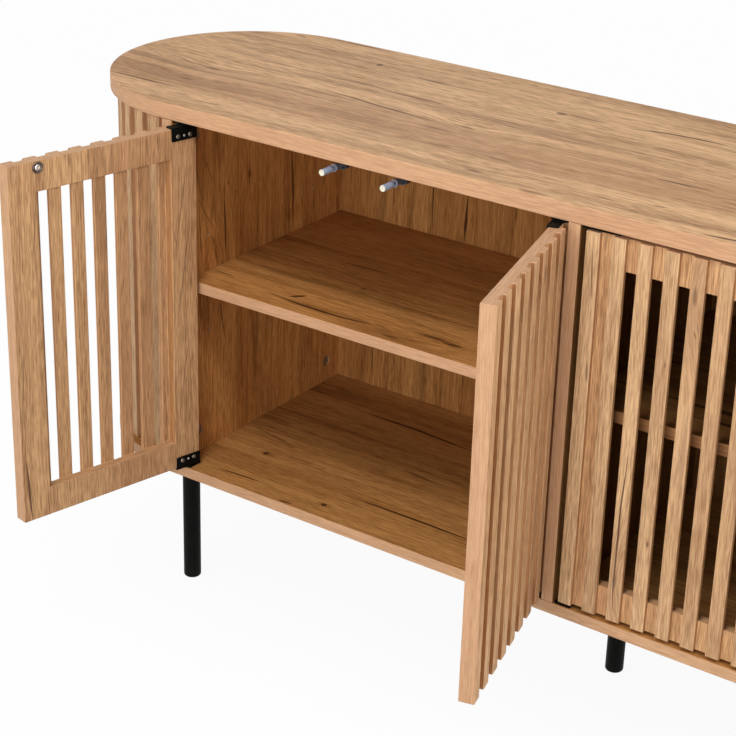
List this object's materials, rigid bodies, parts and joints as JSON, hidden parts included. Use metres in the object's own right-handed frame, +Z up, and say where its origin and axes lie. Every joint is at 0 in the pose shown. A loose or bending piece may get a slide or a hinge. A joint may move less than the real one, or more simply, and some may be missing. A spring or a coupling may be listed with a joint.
{
  "type": "sideboard",
  "caption": "Low sideboard with half-round slatted ends, slatted swing doors on pivot hinges with push latches, a shelf in each bay and slim round legs.",
  "frame": {"origin": "on the floor under the middle leg, at the middle of the length and 8 mm behind the middle of the depth", "axes": "+X along the length towards the right end seen from the front, -Y out of the front, +Z up"},
  "size_m": [1.632, 0.6587, 0.73],
  "materials": {
    "oak_top": "golden oak laminate with dark cracks and knots, satin, grain along the length",
    "oak_board": "golden oak laminate with fine dark pores and cracks, satin",
    "black_metal": "black powder coat",
    "dark_plastic": "dark grey moulded plastic",
    "pale_plastic": "pale grey moulded plastic",
    "steel": "zinc-plated steel disc"
  },
  "bodies": {
    "carcass": {"top_panel": "oak_top", "bottom_panel": "oak_board", "left_side_panel": "oak_board", "right_side_panel": "oak_board", "centre_divider": "oak_board", "left_back_panel": "oak_board", "right_back_panel": "oak_board", "left_shelf": "oak_board", "right_shelf": "oak_board", "left_end_wall": "oak_board", "right_end_wall": "oak_board", "front_left_leg": "black_metal", "front_right_leg": "black_metal", "rear_left_leg": "black_metal", "rear_right_leg": "black_metal", "middle_leg": "black_metal", "door_1_upper_hinge_socket": "black_metal", "door_1_lower_hinge_socket": "black_metal", "door_2_upper_hinge_socket": "black_metal", "door_2_lower_hinge_socket": "black_metal", "door_3_upper_hinge_socket": "black_metal", "door_3_lower_hinge_socket": "black_metal", "door_4_upper_hinge_socket": "black_metal", "door_4_lower_hinge_socket": "black_metal", "latch_1_barrel": "dark_plastic", "latch_2_barrel": "dark_plastic", "latch_3_barrel": "dark_plastic", "latch_4_barrel": "dark_plastic"},
    "door_1": {"door_1_hinge_stile": "oak_board", "door_1_free_stile": "oak_board", "door_1_slat_grille": "oak_board", "door_1_upper_hinge_leaf": "black_metal", "door_1_lower_hinge_leaf": "black_metal", "door_1_strike": "steel"},
    "door_2": {"door_2_hinge_stile": "oak_board", "door_2_free_stile": "oak_board", "door_2_slat_grille": "oak_board", "door_2_upper_hinge_leaf": "black_metal", "door_2_lower_hinge_leaf": "black_metal", "door_2_strike": "steel"},
    "door_3": {"door_3_hinge_stile": "oak_board", "door_3_free_stile": "oak_board", "door_3_slat_grille": "oak_board", "door_3_upper_hinge_leaf": "black_metal", "door_3_lower_hinge_leaf": "black_metal", "door_3_strike": "steel"},
    "door_4": {"door_4_hinge_stile": "oak_board", "door_4_free_stile": "oak_board", "door_4_slat_grille": "oak_board", "door_4_upper_hinge_leaf": "black_metal", "door_4_lower_hinge_leaf": "black_metal", "door_4_strike": "steel"},
    "plunger_1": {"latch_1_plunger": "pale_plastic"},
    "plunger_2": {"latch_2_plunger": "pale_plastic"},
    "plunger_3": {"latch_3_plunger": "pale_plastic"},
    "plunger_4": {"latch_4_plunger": "pale_plastic"}
  },
  "joints": [
    {"name": "door_1_swing", "type": "hinge", "parent": "carcass", "child": "door_1", "pos_m": [-0.58349, -0.19525, 0.208], "axis": [0, 0, -1], "range_deg": [-103, 1]},
    {"name": "door_2_swing", "type": "hinge", "parent": "carcass", "child": "door_2", "pos_m": [-0.02451, -0.19525, 0.208], "axis": [0, 0, 1], "range_deg": [-103.8, 0.6]},
    {"name": "door_3_swing", "type": "hinge", "parent": "carcass", "child": "door_3", "pos_m": [0.02451, -0.19525, 0.208], "axis": [0, 0, -1], "range_deg": [0, 78]},
    {"name": "door_4_swing", "type": "hinge", "parent": "carcass", "child": "door_4", "pos_m": [0.58349, -0.19525, 0.208], "axis": [0, 0, 1], "range_deg": [0, 104]},
    {"name": "latch_1_slide", "type": "slide", "parent": "carcass", "child": "plunger_1", "axis": [0, -1, 0], "range_m": [-0.0331, 0.0004]},
    {"name": "latch_2_slide", "type": "slide", "parent": "carcass", "child": "plunger_2", "axis": [0, -1, 0], "range_m": [-0.0331, 0.0004]},
    {"name": "latch_3_slide", "type": "slide", "parent": "carcass", "child": "plunger_3", "axis": [0, -1, 0], "range_m": [0, 0.0251]},
    {"name": "latch_4_slide", "type": "slide", "parent": "carcass", "child": "plunger_4", "axis": [0, -1, 0], "range_m": [0, 0.0334]}
  ],
  "couplings": [
    {"joint": "latch_1_slide", "follows": "door_1_swing", "m_per_rad": 0.018357},
    {"joint": "latch_2_slide", "follows": "door_2_swing", "m_per_rad": 0.018215},
    {"joint": "latch_3_slide", "follows": "door_3_swing", "m_per_rad": 0.018357},
    {"joint": "latch_4_slide", "follows": "door_4_swing", "m_per_rad": 0.018357}
  ]
}
